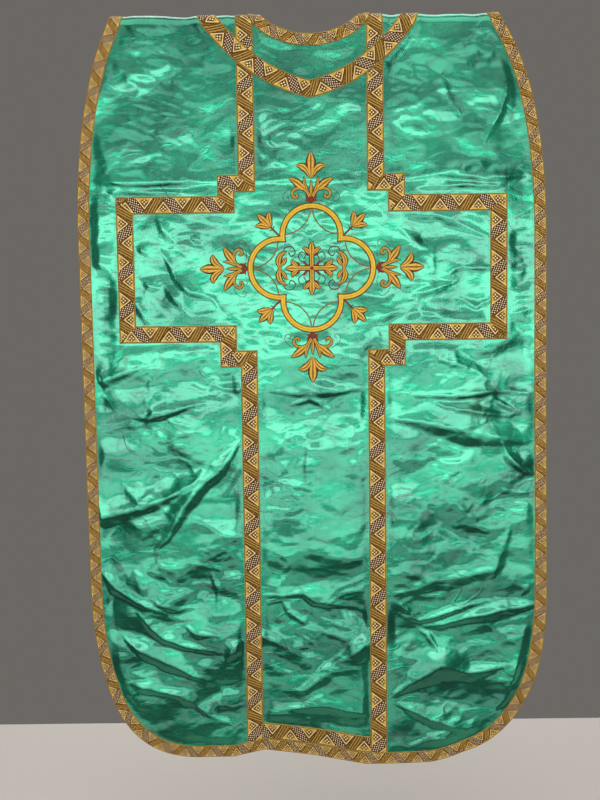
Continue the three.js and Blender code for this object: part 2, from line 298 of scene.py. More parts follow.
# The folds that years of storage left, drawn on each panel from left to right: points
# as (x, z), the crest's height, how far it falls away above and below, and where along it is
# widest (0 to 1). A shallow side above and a steep one below catch the light as folded silk does.
BACK_FOLDS = [
    ([(-330, -240), (-250, -243), (-175, -240), (-112, -244)], 2.6, 30, 8, 0.4),
    ([(-325, -252), (-240, -256), (-150, -257)], 1.8, 7, 7, 0.5),
    ([(-95, -243), (-40, -239), (20, -242), (95, -240)], 1.8, 22, 6, 0.3),
    ([(118, -243), (190, -233), (260, -240), (338, -236)], 2.4, 34, 8, 0.6),
    ([(150, -253), (230, -249), (300, -254)], 1.4, 6, 6, 0.5),
    ([(-325, -538), (-276, -522), (-250, -516)], 3.0, 26, 13, 0.05),
    ([(-156, -544), (-134, -550), (-108, -552)], 2.4, 16, 8, 0.9),
    ([(-82, -552), (-20, -560), (30, -557), (85, -551)], 2.4, 24, 9, 0.6),
    ([(112, -560), (162, -564), (218, -566), (274, -558), (336, -562)], 2.0, 16, 6, 0.6),
    ([(166, -566), (198, -580), (254, -590), (296, -596), (324, -582)], 2.2, 12, 7, 0.5),
    ([(240, -585), (270, -570), (325, -600)], 1.3, 8, 6, 0.5),
    ([(182, -508), (208, -516), (238, -524)], 1.5, 14, 5, 0.5),
    ([(112, -598), (164, -604), (202, -613), (278, -628), (328, -638)], 6.2, 60, 24, 0.55),
    ([(282, -632), (292, -656), (314, -678), (334, -690)], 3.4, 16, 12, 0.4),
    ([(268, -850), (278, -816), (298, -762)], 2.2, 30, 14, 0.3),
    ([(150, -720), (220, -742), (300, -735)], 1.6, 40, 30, 0.5),
    ([(-280, -592), (-250, -596), (-216, -586), (-188, -576), (-158, -572)], 2.8, 26, 6, 0.45),
    ([(-300, -606), (-255, -604)], 1.2, 10, 6, 0.5),
    ([(-148, -662), (-130, -594)], 1.2, 9, 5, 0.6),
    ([(-334, -746), (-285, -735), (-236, -720), (-182, -692), (-158, -656)], 5.6, 44, 19, 0.02),
    ([(-254, -805), (-226, -778), (-204, -738), (-180, -704), (-142, -674), (-106, -622)], 5.2, 40, 15, 0.5),
    ([(-140, -716), (-106, -658)], 1.6, 9, 6, 0.5),
    ([(-300, -690), (-270, -720), (-240, -700)], 1.2, 12, 10, 0.5),
    ([(-334, -824), (-312, -856), (-276, -878), (-246, -890), (-222, -900)], 3.8, 20, 11, 0.3),
    ([(-280, -890), (-258, -918), (-236, -936), (-206, -948), (-170, -956), (-140, -960)], 3.6, 18, 10, 0.4),
    ([(-306, -928), (-282, -950), (-258, -964), (-226, -978), (-178, -1004)], 5.4, 30, 15, 0.6),
    ([(-240, -1020), (-212, -1030), (-192, -1042), (-166, -1064), (-146, -1070)], 3.0, 22, 9, 0.4),
    ([(-298, -1004), (-272, -1014), (-240, -1022), (-212, -1032)], 3.0, 20, 9, 0.4),
    ([(-264, -860), (-246, -880), (-214, -892), (-178, -884)], 1.8, 10, 6, 0.5),
    ([(-206, -912), (-186, -930), (-146, -932)], 1.8, 12, 6, 0.5),
    ([(-150, -900), (-150, -860), (-164, -822)], 1.8, 9, 7, 0.5),
    ([(-140, -975), (-128, -954), (-112, -940)], 4.2, 20, 18, 0.6),
    ([(-84, -872), (-48, -870), (-18, -866), (-2, -880), (84, -894)], 2.8, 34, 8, 0.4),
    ([(-84, -884), (-50, -876), (-40, -896), (-18, -912), (-4, -890)], 2.0, 8, 8, 0.6),
    ([(-84, -936), (-64, -944), (-50, -956)], 2.4, 14, 18, 0.0),
    ([(-4, -996), (26, -978), (52, -962), (84, -941)], 4.6, 22, 26, 1.0),
    ([(-58, -1030), (-20, -1026), (22, -990), (50, -984), (84, -980)], 2.2, 14, 12, 0.5),
    ([(-60, -1062), (10, -1048), (84, -1052)], 2.8, 22, 12, 0.5),
    ([(-70, -780), (-10, -790), (70, -770)], 1.3, 36, 28, 0.5),
    ([(-12, -748), (-9, -660), (-9, -585)], 1.3, 10, 10, 0.5),
    ([(-38, -578), (-4, -566), (34, -590)], 1.8, 10, 6, 0.5),
    ([(116, -896), (140, -906), (160, -912), (182, -906), (232, -890), (284, -876)], 2.6, 12, 6, 0.5),
    ([(152, -922), (194, -918), (232, -908), (284, -896), (338, -888)], 5.0, 22, 17, 0.7),
    ([(116, -868), (154, -862), (180, -850), (232, -842), (282, -830)], 3.0, 30, 20, 0.5),
    ([(120, -878), (138, -893), (152, -906)], 2.0, 8, 6, 0.6),
    ([(150, -922), (170, -932), (190, -964)], 2.4, 9, 7, 0.5),
    ([(114, -1026), (142, -1008), (190, -980), (232, -997), (296, -984)], 6.0, 34, 26, 0.42),
    ([(114, -1032), (140, -1046), (180, -1066), (232, -1092)], 4.4, 26, 11, 0.6),
    ([(290, -1028), (298, -1004), (308, -960)], 2.0, 14, 8, 0.5),
    ([(266, -1064), (282, -1046), (296, -1026), (326, -1000)], 3.0, 30, 14, 0.6),
    ([(138, -1106), (174, -1094), (206, -1100)], 2.2, 14, 10, 0.5),
    ([(252, -198), (282, -142), (298, -98)], 2.0, 12, 8, 0.5),
    ([(-334, -172), (-318, -128), (-298, -84)], 2.0, 10, 12, 0.5),
    ([(130, -112), (156, -72), (190, -86), (214, -142)], 1.6, 24, 18, 0.5),
    ([(-290, -130), (-230, -150), (-160, -140)], 1.2, 30, 24, 0.5),
    ([(-232, -288), (-216, -320), (-196, -337)], 1.7, 14, 10, 0.4),
    ([(-240, -322), (-217, -355), (-205, -383), (-183, -404), (-150, -413), (-126, -450)], 1.8, 13, 8, 0.5),
    ([(-262, -336), (-244, -349)], 1.6, 10, 6, 0.4),
    ([(-268, -414), (-246, -454)], 2.6, 16, 12, 0.1),
    ([(-232, -378), (-208, -412), (-182, -446)], 1.5, 13, 9, 0.5),
    ([(-184, -322), (-162, -331)], 1.8, 12, 8, 0.5),
    ([(-262, -382), (-240, -396), (-222, -398)], 1.0, 10, 8, 0.5),
    ([(-120, -330), (-96, -346), (-84, -366)], 1.4, 10, 7, 0.5),
    ([(128, -310), (162, -338), (182, -346)], 1.5, 15, 9, 0.5),
    ([(180, -292), (208, -301), (270, -330)], 2.2, 20, 12, 0.3),
    ([(206, -371), (274, -373)], 1.8, 9, 6, 0.7),
    ([(144, -414), (182, -403), (216, -393)], 2.4, 12, 10, 0.5),
    ([(178, -340), (183, -380)], 1.0, 12, 9, 0.4),
    ([(212, -414), (246, -430), (274, -416)], 1.8, 10, 8, 0.5),
    ([(150, -432), (196, -442), (240, -452)], 1.6, 12, 8, 0.5),
]
FRONT_FOLDS = [
    ([(-190, -236), (-110, -240)], 2.0, 24, 8, 0.5),
    ([(118, -244), (195, -238)], 2.2, 24, 8, 0.5),
    ([(-80, -262), (0, -258), (82, -264)], 2.0, 22, 8, 0.5),
    ([(-205, -548), (-150, -556), (-112, -552)], 2.6, 26, 10, 0.4),
    ([(-80, -556), (20, -550), (82, -558)], 2.2, 24, 9, 0.5),
    ([(114, -552), (170, -560), (225, -548)], 2.4, 26, 10, 0.6),
    ([(-280, -700), (-220, -680), (-150, -640), (-112, -600)], 4.2, 36, 16, 0.5),
    ([(-290, -800), (-210, -790), (-120, -820)], 3.6, 30, 14, 0.4),
    ([(-270, -900), (-200, -930), (-130, -915)], 3.4, 26, 14, 0.5),
    ([(114, -610), (180, -640), (262, -650)], 4.0, 40, 18, 0.6),
    ([(118, -760), (190, -740), (296, -770)], 3.0, 34, 16, 0.5),
    ([(116, -900), (170, -870), (230, -880), (290, -850)], 4.4, 30, 18, 0.5),
    ([(118, -930), (170, -950), (230, -972)], 3.0, 22, 10, 0.6),
    ([(-82, -720), (0, -735), (82, -715)], 1.8, 34, 20, 0.5),
    ([(-82, -860), (-20, -872), (20, -850), (82, -862)], 2.6, 26, 9, 0.5),
    ([(-20, -940), (30, -925), (84, -905)], 3.2, 20, 16, 1.0),
]


# The creases that all layers share are this much deeper than drawn, and level off at a limit that
# keeps the two panels apart.
CREASE_STRENGTH = 1.15
RELIEF_LIMIT = 9


def crushed(x, run):
    """Stiff facets, as the interlining breaks when it is folded away in a drawer."""
    bent = 16 * noises[9](x / 85, run / 85)
    along, across = (x + bent) * 0.94 + run * 0.34, (run + bent) * 0.94 - x * 0.34
    large = facets[0](along / 92, across / 58)
    middle = facets[1](along / 50 + 0.4, across / 30)
    small = facets[2](along / 27, across / 16 + 0.3)
    return 3.0 * large + 0.95 * middle + 0.3 * small


def crumple(x, run):
    """Soft hollows and swellings, with a few finer puckers in patches."""
    warp = 12 * noises[5](x / 70, run / 50)
    soft = 1.9 * noises[2](x / 105, (run + warp) / 80)
    middle = 1.3 * noises[3]((x + warp) / 52, (run + warp) / 36)
    fine = 0.55 * noises[4](x / 22, (run + warp) / 17)
    patches = smooth(-0.35, 0.4, noises[5](x / 90, run / 90))
    sharp = 0.7 * (1 - np.abs(noises[4]((x + 2 * warp) / 50, (run - warp) / 24))) ** 5
    return soft + middle + (fine + sharp) * patches


def hem_wave(x, z):
    """How far the hem hangs above (or below) a straight line, fading upwards."""
    wave = np.interp(x, [-350, -215, -130, -80, 0, 75, 175, 225, 350], [2, 6, 6, 17, 7, -6, -5, 4, 2])
    return wave * smooth(-860, -1120, z)


def side_shift(x, z):
    """How far the outer edges hang off their drawn place: the cloth isn't quite symmetric."""
    shift = np.interp(-z, [0, 40, 100, 210, 570, 860, 1000, 1130], [-11, -6, -2, 0, 3, 6, 9, 6])
    return shift * (x / BACK_HALF) ** 2


def fold_relief(x, z, folds):
    """The height of every fold: a straight slope on each side, narrower towards its ends."""
    relief = np.zeros(len(x))
    for line, height, above, below, widest in folds:
        offset, along = near_line(x, z, np.array(line, float))
        rising = along / widest if widest > 0 else np.ones(len(x))
        falling = (1 - along) / (1 - widest) if widest < 1 else np.ones(len(x))
        taper = np.clip(np.minimum(rising, falling), 0.02, 1) ** 0.8
        reach = np.where(offset > 0, above, below) * taper
        share = np.clip(1 - np.abs(offset) / reach, 0, 1)
        relief += CREASE_STRENGTH * height * taper * np.where(offset > 0, share**1.5, share)
    return relief


def drape(x, run):
    """The relief that every layer shares, outwards from the flat panel."""
    z = -(np.abs(run) - HALF_FOLD + FOLD_RADIUS)
    hanging = smooth(20, 160, -z)
    swell = 2.0 * noises[0](x / 240 + 0.3, run / 330) + 1.4 * noises[1](x / 110, run / 150)
    flare = smooth(500, 1100, -z) * 2.6 * np.sin(x / 62 + 0.6 * np.sin(run / 190))
    total = hanging * (swell + flare)
    for panel_side, folds in [(run < 0, BACK_FOLDS), (run >= 0, FRONT_FOLDS)]:
        if panel_side.any():
            total[panel_side] += fold_relief(x[panel_side], z[panel_side], folds)
    return RELIEF_LIMIT * np.tanh(total / RELIEF_LIMIT)


def galloon_distance(x, run):
    """How far each point is from the nearest galloon's edge."""
    column = column_side(WIDE / 2, NARROW)
    feet = [foot_line(BACK_LENGTH, BACK), foot_line(FRONT_LENGTH, FRONT)]
    reaches = [(line, WIDE / 2) for line in (column, mirrored(column), looped_open(collar), *feet)]
    reaches += [(looped_open(line), NARROW) for line in (outline, neck)]
    return np.min([np.abs(near_line(x, run, line)[0]) - reach for line, reach in reaches], axis=0)


def looped_open(line):
    """A closed line as an open one that comes back to its start."""
    return np.vstack([line, line[:1]])


def pucker(x, run):
    """The finer creases, which stop short of the galloons that hold the layers down."""
    z = -(np.abs(run) - HALF_FOLD + FOLD_RADIUS)
    free = smooth(0, 15, galloon_distance(x, run))
    near_motif = np.exp(-((np.hypot(x, z - MOTIF) / 135) ** 4)) * (run < 0)
    low = smooth(620, 900, -z)
    total = (1.15 + 0.1 * near_motif) * crumple(x, run)
    total += (0.85 + 0.5 * low) * (1 - 0.35 * near_motif) * crushed(x, run)
    total += 0.42 * near_motif * noises[7](x / 28, run / 10)
    end_strip = smooth(ARM_HALF + 2, ARM_HALF + 14, np.abs(x)) * smooth(520, 470, -z) * smooth(250, 290, -z)
    total += 0.5 * end_strip * noises[8](x / 30, run / 9)
    return free * total


def satin_relief(x, run):
    return drape(x, run) + pucker(x, run)


def fold(x, run, lift):
    """Points of the flat pattern bent over the rail, lifted off the lining's inner face."""
    angle = np.clip((run + HALF_FOLD) / (2 * HALF_FOLD), 0, 1) * math.pi
    reach = FOLD_RADIUS + lift
    z = np.sin(angle) * reach - FOLD_RADIUS - np.maximum(np.abs(run) - HALF_FOLD, 0)
    back = run < 0
    shifted_x = x + np.where(back, side_shift(x, z), 0)
    shifted_z = z + np.where(back, hem_wave(x, z), 0)
    return np.column_stack([shifted_x, -np.cos(angle) * reach, shifted_z])


# ---- meshes


class Sewing:
    """Points, faces and UVs gathered into one mesh. Points and UVs are in millimetres."""

    def __init__(self):
        self.points, self.faces, self.uvs, self.slots, self.count = [], [], [], [], 0

    def add(self, part, slot=0):
        points, faces, uvs = part
        self.points.append(points)
        self.faces += [[i + self.count for i in face] for face in faces]
        self.uvs.append(np.asarray(uvs, float).reshape(-1, 2))
        self.slots += [slot] * len(faces)
        self.count += len(points)

    def make(self, name, materials):
        mesh = bpy.data.meshes.new(name)
        mesh.from_pydata((np.vstack(self.points) * MM).tolist(), [], self.faces)
        layer = mesh.uv_layers.new(name="weave")
        layer.data.foreach_set("uv", np.vstack(self.uvs).astype(np.float32).ravel())
        for material in materials:
            mesh.materials.append(material)
        mesh.polygons.foreach_set("material_index", np.array(self.slots, np.int32))
        mesh.polygons.foreach_set("use_smooth", np.ones(len(self.faces), bool))
        mesh.set_sharp_from_angle(angle=math.radians(50))
        mesh.update()
        obj = bpy.data.objects.new(name, mesh)
        bpy.context.scene.collection.objects.link(obj)
        return obj


def inside(x, y, loop):
    """Which points lie inside a closed loop."""
    result = np.zeros(len(x), bool)
    for (x0, y0), (x1, y1) in zip(loop, np.roll(loop, -1, 0)):
        if y0 != y1:
            crossing = (y0 > y) != (y1 > y)
            result ^= crossing & (x < (x1 - x0) * (y - y0) / (y1 - y0) + x0)
    return result


def divided(line, step):
    """A closed line with its long stretches divided into steps."""
    ends = looped_open(line)
    points = []
    for a, b in zip(ends[:-1], ends[1:]):
        count = max(1, round(np.linalg.norm(b - a) / step))
        points += [a + (b - a) * i / count for i in range(count)]
    return np.array(points)


def clipped(loop, side):
    """The part of a closed line on one side of the rail's top."""
    kept = []
    for a, b in zip(loop, np.roll(loop, -1, 0)):
        gap_a, gap_b = side * (a[1] - SPLIT), side * (b[1] - SPLIT)
        if gap_a >= 0:
            kept.append(a)
        if gap_a * gap_b < 0:
            kept.append(a + (b - a) * gap_a / (gap_a - gap_b))
    return np.array(kept)


def grid_points(loops, step):
    """Points in a triangular grid inside the first loop and outside the others."""
    low, high = loops[0].min(0), loops[0].max(0)
    rows = []
    for i, run in enumerate(np.arange(low[1], high[1], step * 0.87)):
        xs = np.arange(low[0], high[0], step) + step * 0.5 * (i % 2)
        rows.append(np.column_stack([xs, np.full(len(xs), run)]))
    grid = np.vstack(rows)
    for number, loop in enumerate(loops):
        grid = grid[inside(*grid.T, loop) != (number > 0)]
        grid = grid[np.abs(near_line(*grid.T, looped_open(loop))[0]) > 0.55 * step]
    return grid


def sheet_of_cloth(loops, layer, step, side):
    """A closed sheet between two heights, cut along loops of the flat pattern on one panel."""
    loops = [divided(clipped(loop, side), step) for loop in loops]
    points = np.vstack([*loops, grid_points(loops, step)])
    edges, first = [], 0
    for loop in loops:
        count = len(loop)
        edges += [(first + i, first + (i + 1) % count) for i in range(count)]
        first += count
    found = delaunay_2d_cdt([Vector(p) for p in points], edges, [], 0, 1e-6)
    pattern = np.array([tuple(v) for v in found[0]])
    triangles = np.array(found[2])
    middle = pattern[triangles].mean(1)
    keep = inside(*middle.T, loops[0])
    for loop in loops[1:]:
        keep &= ~inside(*middle.T, loop)
    triangles = triangles[keep]
    relief = satin_relief(*pattern.T)
    lower = layer[0](*pattern.T) if callable(layer[0]) else layer[0]
    top = fold(*pattern.T, layer[1] + relief)
    bottom = fold(*pattern.T, lower + relief)
    sides = np.vstack([triangles[:, [0, 1]], triangles[:, [1, 2]], triangles[:, [2, 0]]])
    pairs = set(map(tuple, sides.tolist()))
    rim = np.array([(a, b) for a, b in pairs if (b, a) not in pairs])
    count = len(pattern)
    walls = np.column_stack([rim[:, 1], rim[:, 0], rim[:, 0] + count, rim[:, 1] + count])
    under = triangles[:, ::-1] + count
    faces = triangles.tolist() + under.tolist() + walls.tolist()
    corners = np.concatenate([triangles.ravel(), under.ravel(), walls.ravel()]) % count
    return np.vstack([top, bottom]), faces, pattern[corners]


def half_line(line, side):
    """The part of a line that lies on one panel, as one stretch. A closed line starts and ends at
    the same point, so its first and last stretches are one."""
    kept, gaps = [[]], side * (line[:, 1] - SPLIT)
    for i, (point, gap) in enumerate(zip(line, gaps)):
        if gap >= 0:
            kept[-1].append(point)
        if i + 1 < len(line) and gap * gaps[i + 1] < 0:
            kept[-1].append(point + (line[i + 1] - point) * gap / (gap - gaps[i + 1]))
            if gap > 0:
                kept.append([])
    kept = [np.array(stretch) for stretch in kept if len(stretch) > 1]
    return kept[0] if len(kept) == 1 else np.vstack([kept[1], kept[0][1:]])


def ribbon(line, half_width, shares, step, base, height, relief, ends_at_zero=False, unit=None, closed=False):
    """A strip along a line: points, faces and UVs. height(u, v, half) is its upper side above
    base, with u along it and v across it. half_width may depend on the share of the length, and
    shares are the places of the points across, from -1 to 1. The UVs' v runs from -unit to unit,
    or is in millimetres. u starts at 0, or ends there."""
    ends = looped_open(line) if closed else line
    sideways = mitres(line, closed)
    sideways = looped_open(sideways) if closed else sideways
    lengths = np.linalg.norm(np.diff(ends, axis=0), axis=1)
    heading = np.diff(ends, axis=0) / lengths[:, None]
    counts = np.maximum(1, np.round(lengths / step)).astype(int)
    owner = np.repeat(np.arange(len(counts)), counts)
    t = np.concatenate([np.arange(n) / n for n in counts])[:, None]
    centre = np.vstack([ends[owner] * (1 - t) + ends[owner + 1] * t, ends[-1:]])
    across = np.vstack([sideways[owner] * (1 - t) + sideways[owner + 1] * t, sideways[-1:]])
    starts = np.concatenate([[0], np.cumsum(lengths)])
    share = np.concatenate([[0], np.cumsum(np.linalg.norm(np.diff(centre, axis=0), axis=1))])
    share /= share[-1]
    half = half_width(share) if callable(half_width) else np.full(len(share), float(half_width))
    v = half[:, None] * shares
    place = centre[:, None, :] + across[:, None, :] * v[:, :, None]

    def along(rows):
        offset = ((place[rows] - ends[owner][:, None, :]) * heading[owner][:, None, :]).sum(2)
        return starts[owner][:, None] + offset - (starts[-1] if ends_at_zero else 0)

    rows = np.arange(len(owner))
    u_near, u_far = along(rows), along(rows + 1)
    flat_top = place.reshape(-1, 2)
    lift = base(*flat_top.T).reshape(v.shape) + height(np.vstack([u_near, u_far[-1:]]), v, half[:, None])
    top = fold(*flat_top.T, lift.ravel() + relief(*flat_top.T)).reshape(*lift.shape, 3)
    rims = place[:, [-1, 0]].reshape(-1, 2)
    under = fold(*rims.T, base(*rims.T) + relief(*rims.T)).reshape(len(half), 2, 3)
    turn = len(shares) + 2
    total = len(half) - (1 if closed else 0)
    points = np.concatenate([top, under], 1)[:total].reshape(-1, 3)
    round_trip = [*range(len(shares)), len(shares) - 1, 0]
    v_map = v if unit is None else np.broadcast_to(shares * unit, v.shape)
    u_near, u_far, v_map = u_near[:, round_trip], u_far[:, round_trip], v_map[:, round_trip]
    index = lambda row, column: (row % total)[:, None] * turn + column[None, :]
    j = np.arange(turn)
    k = (j + 1) % turn
    faces = np.stack([index(rows, j), index(rows, k), index(rows + 1, k), index(rows + 1, j)], 2)
    near, far = np.stack([u_near, v_map[:-1]], 2), np.stack([u_far, v_map[1:]], 2)
    uvs = np.stack([near[:, j], near[:, k], far[:, k], far[:, j]], 2)
    faces, uvs = faces.reshape(-1, 4).tolist(), uvs.reshape(-1, 2)
    if not closed:
        last = (total - 1) * turn
        faces += [list(range(turn - 1, -1, -1)), list(range(last, last + turn))]
        uvs = np.vstack([uvs, near[0][::-1], far[-1]])
    return points, faces, uvs


# ---- materials


class Value:
    """What a node gives out. Sums and products of values become math nodes."""

    def __init__(self, shader, socket):
        self.shader, self.socket = shader, socket

    __add__ = lambda self, other: self.shader.math("ADD", self, other)
    __sub__ = lambda self, other: self.shader.math("SUBTRACT", self, other)
    __rsub__ = lambda self, other: self.shader.math("SUBTRACT", other, self)
    __mul__ = lambda self, other: self.shader.math("MULTIPLY", self, other)
    __truediv__ = lambda self, other: self.shader.math("DIVIDE", self, other)
    __abs__ = lambda self: self.shader.math("ABSOLUTE", self)


class Shader:
    """A node material, with short ways to add the nodes that the patterns need."""

    def __init__(self, name):
        self.material = bpy.data.materials.new(name)
        self.material.use_nodes = True
        self.tree = self.material.node_tree
        self.surface = self.tree.nodes["Principled BSDF"]

    def add(self, kind, **settings):
        node = self.tree.nodes.new(kind)
        for key, value in settings.items():
            setattr(node, key, value)
        return node

    def put(self, value, socket):
        if isinstance(value, Value):
            self.tree.links.new(value.socket, socket)
        else:
            socket.default_value = value

    def math(self, operation, *values):
        node = self.add("ShaderNodeMath", operation=operation)
        for value, socket in zip(values, node.inputs):
            self.put(value, socket)
        return Value(self, node.outputs[0])

    def sine(self, value, rate):
        return self.math("SINE", value * rate)

    def mix(self, share, low, high):
        node = self.add("ShaderNodeMix", data_type="RGBA")
        self.put(share, node.inputs[0])
        for value, socket in [(low, node.inputs[6]), (high, node.inputs[7])]:
            self.put(value if isinstance(value, Value) else (*value, 1), socket)
        return Value(self, node.outputs[2])

    def step(self, low, high, value):
        """0 below low, 1 above high, and smoothly between."""
        node = self.add("ShaderNodeMapRange", interpolation_type="SMOOTHSTEP")
        for socket, given in zip(node.inputs, [value, low, high, 0.0, 1.0]):
            self.put(given, socket)
        return Value(self, node.outputs[0])

    def below(self, limit, value, softness=0.3):
        """1 below a limit, 0 above it."""
        return 1 - self.step(limit - softness, limit + softness, value)

    def length(self, a, b):
        return self.math("SQRT", a * a + b * b)

    def uv(self):
        """The two UV coordinates, in millimetres."""
        node = self.add("ShaderNodeSeparateXYZ")
        self.tree.links.new(self.add("ShaderNodeUVMap", uv_map="weave").outputs[0], node.inputs[0])
        return Value(self, node.outputs[0]), Value(self, node.outputs[1])

    def noise(self, u, v, scale, detail=2.0, roughness=0.5, distortion=0.0):
        place = self.add("ShaderNodeCombineXYZ")
        self.put(u, place.inputs[0])
        self.put(v, place.inputs[1])
        node = self.add("ShaderNodeTexNoise")
        for socket, value in [
            ("Vector", Value(self, place.outputs[0])), ("Scale", scale), ("Detail", detail),
            ("Roughness", roughness), ("Distortion", distortion),
        ]:
            self.put(value, node.inputs[socket])
        return Value(self, node.outputs[0])

    def bump(self, height, distance, strength=1.0, normal=None):
        node = self.add("ShaderNodeBump")
        self.put(height, node.inputs["Height"])
        node.inputs["Distance"].default_value = distance
        node.inputs["Strength"].default_value = strength
        if normal is not None:
            self.put(normal, node.inputs["Normal"])
        return Value(self, node.outputs[0])

    def finish(self, **inputs):
        for name, value in inputs.items():
            socket = self.surface.inputs[name.replace("_", " ")]
            is_colour = isinstance(value, tuple) and len(value) == 3
            self.put((*value, 1) if is_colour else value, socket)
        return self.material


def shaded(colour, share):
    return tuple(share * c for c in colour)


def satin_material():
    """Silk satin, which shines almost like metal: a clouded green, faded in places, with paler
    slubs, and small bumps and crease lines that break up the light."""
    deep, clear = (0.002, 0.165, 0.094), (0.012, 0.315, 0.172)
    pale, faded = (0.05, 0.38, 0.26), (0.055, 0.27, 0.13)
    s = Shader("green_satin")
    x, run = s.uv()
    cloud = s.noise(x * 0.6, run, 0.013, 3.0, 0.55)
    base = s.mix(s.step(0.35, 0.68, cloud), deep, clear)
    weft_slub = s.noise(x * 0.04, run, 0.9, 2.0)
    warp_slub = s.noise(x, run * 0.03, 0.5, 2.0)
    base = s.mix(s.step(0.5, 0.8, s.math("MAXIMUM", weft_slub, warp_slub)) * 0.18, base, pale)
    base = s.mix(s.step(0.6, 0.75, s.noise(x, run, 0.0045, 3.0, 0.6)) * 0.3, base, faded)

    normal = s.bump(s.noise(x * 0.7, run, 0.05, 2.0, 0.5, 0.5), 0.0035, 0.38)
    normal = s.bump(s.noise(x * 0.6, run, 0.13, 2.0), 0.0009, 0.22, normal)
    normal = s.bump(weft_slub, 0.0001, 0.2, normal)
    crease = 1 - s.step(0.0, 0.022, abs(s.noise(x * 0.75, run, 0.019, 1.0, 0.5, 0.5) - 0.5))
    low = s.step(450, 850, abs(run))
    creased = s.step(0.58 - low * 0.13, 0.72, s.noise(x, run, 0.012, 2.0))
    normal = s.bump(crease * creased, 0.0006, 0.6, normal)
    tangent = s.add("ShaderNodeTangent", direction_type="UV_MAP", uv_map="weave")
    return s.finish(
        Base_Color=base, Roughness=cloud * 0.12 + 0.2, Metallic=0.95, Anisotropic=0.4,
        Tangent=Value(s, tangent.outputs[0]), Normal=normal, Coat_Weight=1.0, Coat_Roughness=0.14,
        Sheen_Weight=0.04, Sheen_Roughness=0.4, Sheen_Tint=(0.5, 1.0, 0.8, 1),
    )


def plain_cloth(name, dark, light, thread, sheen):
    """A plain weave with threads of a given width, uneven in colour and thickness."""
    s = Shader(name)
    x, run = s.uv()
    pitch = 2 * math.pi / thread
    weave = s.sine(run, pitch) * s.sine(x, pitch) * 0.5 + 0.5
    base = s.mix(s.step(0.3, 0.7, s.noise(x, run, 0.008, 3.0)), dark, light)
    weft_slub = s.noise(x * 0.03, run, 0.7, 2.0)
    warp_slub = s.noise(x, run * 0.02, 0.45, 2.0)
    slub = s.math("MAXIMUM", weft_slub, warp_slub)
    base = s.mix(s.step(0.5, 0.75, slub) * 0.45, base, shaded(dark, 0.62))
    base = s.mix(weave * 0.3, base, shaded(dark, 0.6))
    normal = s.bump(s.noise(x * 1.6, run, 0.02, 3.0, 0.55, 0.8), 0.004, 0.35)
    normal = s.bump(slub, 0.0003, 0.5, normal)
    return s.finish(
        Base_Color=base, Roughness=0.62, Normal=s.bump(weave, 0.00015, 0.7, normal),
        Sheen_Weight=sheen, Specular_IOR_Level=0.4,
    )


# The braid's pattern in millimetres of the wide galloon: how often it repeats, its two slanted
# bars, and the triangles between them as (share of the repeat, side that the base is on).
PATTERN = 57.0
LATTICE_HALF, LATTICE_SLANT = 7.2, 0.6
TWILL_HALF, TWILL_SLANT, TWILL_PLACE = 6.2, -0.55, 0.49
TRIANGLES = [(0.245, -1), (0.74, 1)]
TRIANGLE_TIP, TRIANGLE_SPREAD = 5.8, 0.78
FLORET_PLACE, FLORET_REACH = 5.2, 4.6
DOT_PLACE, DOT_RADIUS = 2.6, 1.15
RIB, TWIST = 1.1, 1.6

MAROON, CREAM = (0.022, 0.004, 0.004), (0.95, 0.75, 0.50)
TWILL_DARK, TWILL_GOLD = (0.055, 0.02, 0.004), (0.42, 0.25, 0.05)
GROUND_DARK, GROUND_LIGHT, RIB_BROWN = (0.10, 0.045, 0.006), (0.25, 0.14, 0.022), (0.13, 0.055, 0.01)
FILLING_DARK, FILLING_GOLD, FILLING_RIM = (0.14, 0.07, 0.008), (0.66, 0.42, 0.07), (0.055, 0.018, 0.005)
FLORET_DARK, DOT_CREAM, CHEVRON_GOLD = (0.06, 0.02, 0.004), (0.95, 0.78, 0.42), (0.92, 0.70, 0.32)
# The third cord colour is no thread: it is a painted shadow for the inner side of the corded edges.
CORD_DARK, CORD_GOLD, CORD_PAINTED_SHADOW = (0.16, 0.11, 0.02), (0.42, 0.33, 0.09), (0.075, 0.03, 0.006)
RUBBED_BROWN, GRAIN_DARK, GRAIN_GOLD = (0.24, 0.105, 0.014), (0.05, 0.018, 0.005), (0.80, 0.55, 0.18)


def braid_triangle(s, across, up, ground):
    """One triangle laid over the ground: its filling, a chevron and a floret of four dots. Gives
    the colour and what stands up."""
    depth = (up + TRIANGLE_TIP) * TRIANGLE_SPREAD - across
    ground = s.mix(s.below(1.5, abs(depth + 1.0)), ground, FILLING_RIM)
    filling = s.mix(s.step(3.0, 10.0, up), FILLING_DARK, FILLING_GOLD)
    ground = s.mix(s.step(0.2, 0.6, depth), ground, filling)
    chevron = s.below(0.8, abs(depth - 1.0), 0.25)
    ground = s.mix(chevron, ground, CHEVRON_GOLD)
    from_floret = abs(up - FLORET_PLACE)
    ground = s.mix(s.below(FLORET_REACH, s.length(across, from_floret)), ground, FLORET_DARK)
    far, near = s.math("MAXIMUM", across, from_floret), s.math("MINIMUM", across, from_floret)
    dots = s.below(DOT_RADIUS, s.length(far - DOT_PLACE, near), 0.2)
    return s.mix(dots, ground, DOT_CREAM), s.math("MAXIMUM", dots, chevron)


def braid_wear(s, u, v, colour, wear):
    """The braid rubbed to a dull brown in patches, with dark and bright single threads."""
    rubbed = s.step(0.45, 0.75, s.noise(u, v, 0.05, 5.0, 0.65)) * 0.5 + 0.35
    colour = s.mix(rubbed * wear, colour, RUBBED_BROWN)
    grain = s.noise(u, v, 0.5, 2.0, 0.6)
    colour = s.mix(s.below(0.42, grain, 0.04) * (0.8 * wear), colour, GRAIN_DARK)
    return s.mix(s.step(0.55, 0.62, grain) * wear, colour, GRAIN_GOLD)


